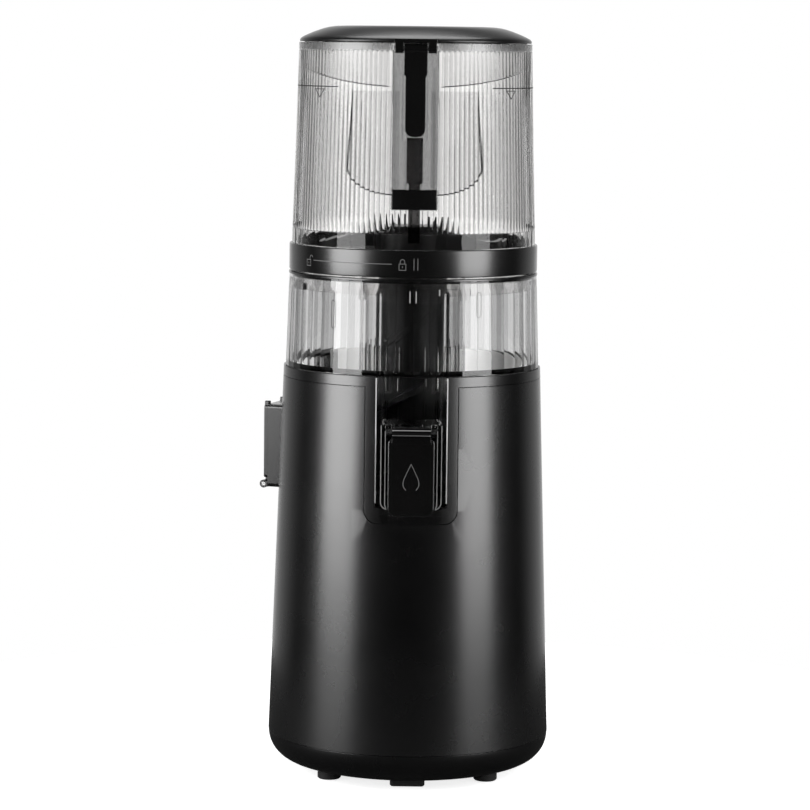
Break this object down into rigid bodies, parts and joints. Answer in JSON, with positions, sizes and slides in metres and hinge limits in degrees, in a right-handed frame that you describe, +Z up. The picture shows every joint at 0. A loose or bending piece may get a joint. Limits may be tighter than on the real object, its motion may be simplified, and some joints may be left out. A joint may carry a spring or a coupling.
{
  "type": "cold press juicer",
  "caption": "Upright slow juicer: tapered black body, clear faceted bowl with capped juice and pulp spouts, reeded smoky hopper and hinged latched lid.",
  "frame": {"origin": "centre of the foot plane, on the upright axis of the drive", "axes": "+Z up along the drive axis, -Y towards the juice spout and the user, +X to the user's right"},
  "size_m": [0.1887, 0.2031, 0.4777],
  "materials": {
    "shell": "matte black, fine grain",
    "collar": "matte black, smoother than the shell",
    "base": "matte black",
    "rubber": "soft black",
    "switch": "satin black",
    "motor_steel": "plated",
    "core_iron": "stacked sheet",
    "steel": "bright",
    "gear_nylon": "natural nylon",
    "housing_nylon": "dark grey",
    "bronze": "sintered",
    "board": "solder mask",
    "silicone": "soft grey",
    "smoke_clear": "polished smoky clear",
    "smoke_rim": "frosted smoky",
    "satin_black": "satin black",
    "smoke_rod": "dark smoky clear",
    "screw_black": "satin black",
    "strainer_grey": "dark grey",
    "lid_dark": "satin dark grey"
  },
  "bodies": {
    "body": {"body_shell": "shell", "seat_collar": "collar", "bottom_cover": "base", "round_feet": "rubber", "front_foot": "rubber", "cord_gland": "rubber", "switch_bezel": "switch", "motor_can": "motor_steel", "motor_end_cap": "motor_steel", "stator": "core_iron", "gearbox_base": "housing_nylon", "gearbox_cover": "housing_nylon", "cluster_pin": "steel", "lower_bush": "bronze", "upper_bush": "bronze", "shaft_seal": "silicone", "gearbox_screws": "steel", "motor_screws": "steel", "bottom_screws": "steel", "circuit_board": "board", "board_holder": "housing_nylon"},
    "switch": {"switch_rocker": "switch"},
    "motor_armature": {"rotor": "core_iron", "motor_shaft": "steel", "motor_pinion": "steel", "cooling_fan": "housing_nylon"},
    "cluster": {"cluster_gear": "gear_nylon"},
    "drive": {"output_gear": "gear_nylon", "drive_shaft": "steel", "gear_clip": "steel"},
    "bowl": {"chamber": "smoke_clear", "chamber_rim": "satin_black", "floor_seal": "silicone", "strainer": "strainer_grey", "strainer_seat": "smoke_clear", "juice_spout": "smoke_clear", "spout_ears": "smoke_clear", "juice_cap_pin": "steel", "pulp_spout": "satin_black", "pulp_ears": "satin_black", "pulp_cap_pin": "steel"},
    "juice_flap": {"juice_cap": "satin_black", "juice_cap_seal": "silicone"},
    "pulp_flap": {"pulp_cap": "satin_black"},
    "juicing_screw": {"screw": "screw_black", "screw_blade": "screw_black"},
    "hopper_unit": {"hopper": "smoke_clear", "hopper_funnel": "smoke_clear", "hopper_ring": "satin_black", "hopper_rim": "smoke_rim", "front_channel": "smoke_clear", "guard_panel": "smoke_clear", "interlock_housing": "satin_black", "lid_hinge_pin": "steel"},
    "rod": {"interlock_rod": "smoke_rod"},
    "lid_unit": {"lid": "lid_dark", "lid_skirt": "smoke_clear", "latch_bracket": "satin_black", "latch_pin": "steel"},
    "latch_unit": {"latch": "satin_black"}
  },
  "joints": [
    {"name": "switch_tilt", "type": "hinge", "parent": "body", "child": "switch", "pos_m": [0, 0.08087, 0.144], "axis": [1, 0, 0], "range_deg": [-12, 12]},
    {"name": "drive_spin", "type": "hinge", "parent": "body", "child": "drive", "pos_m": [0, 0, 0.106], "axis": [0, 0, 1], "continuous": true},
    {"name": "cluster_spin", "type": "hinge", "parent": "body", "child": "cluster", "pos_m": [0, 0.036, 0.0905], "axis": [0, 0, 1], "continuous": true},
    {"name": "motor_spin", "type": "hinge", "parent": "body", "child": "motor_armature", "pos_m": [0, 0, 0.042], "axis": [0, 0, 1], "continuous": true},
    {"name": "bowl_lift", "type": "slide", "parent": "body", "child": "bowl", "axis": [0, 0, 1], "range_m": [0, 0.1]},
    {"name": "screw_spin", "type": "hinge", "parent": "bowl", "child": "juicing_screw", "pos_m": [0, 0, 0.181], "axis": [0, 0, 1], "continuous": true},
    {"name": "juice_cap_hinge", "type": "hinge", "parent": "bowl", "child": "juice_flap", "pos_m": [0, -0.108, 0.2312], "axis": [-1, 0, 0], "range_deg": [0, 95]},
    {"name": "pulp_cap_hinge", "type": "hinge", "parent": "bowl", "child": "pulp_flap", "pos_m": [-0.0904, 0.0329, 0.1808], "axis": [-0.342, -0.9397, 0], "range_deg": [0, 75]},
    {"name": "hopper_twist", "type": "hinge", "parent": "bowl", "child": "hopper_unit", "pos_m": [0, 0, 0.323], "axis": [0, 0, 1], "range_deg": [0, 50]},
    {"name": "rod_press", "type": "slide", "parent": "hopper_unit", "child": "rod", "axis": [0, 0, -1], "range_m": [0, 0.003], "stiffness_N_per_m": 150, "springref_m": -0.0005},
    {"name": "lid_hinge", "type": "hinge", "parent": "hopper_unit", "child": "lid_unit", "pos_m": [0, 0.0785, 0.4665], "axis": [-1, 0, 0], "range_deg": [0, 105]},
    {"name": "latch_hinge", "type": "hinge", "parent": "lid_unit", "child": "latch_unit", "pos_m": [0, -0.0756, 0.4636], "axis": [-1, 0, 0], "range_deg": [0, 35]}
  ],
  "couplings": [
    {"joint": "cluster_spin", "follows": "drive_spin", "ratio": -5},
    {"joint": "motor_spin", "follows": "drive_spin", "ratio": 25},
    {"joint": "screw_spin", "follows": "drive_spin", "ratio": 1}
  ]
}
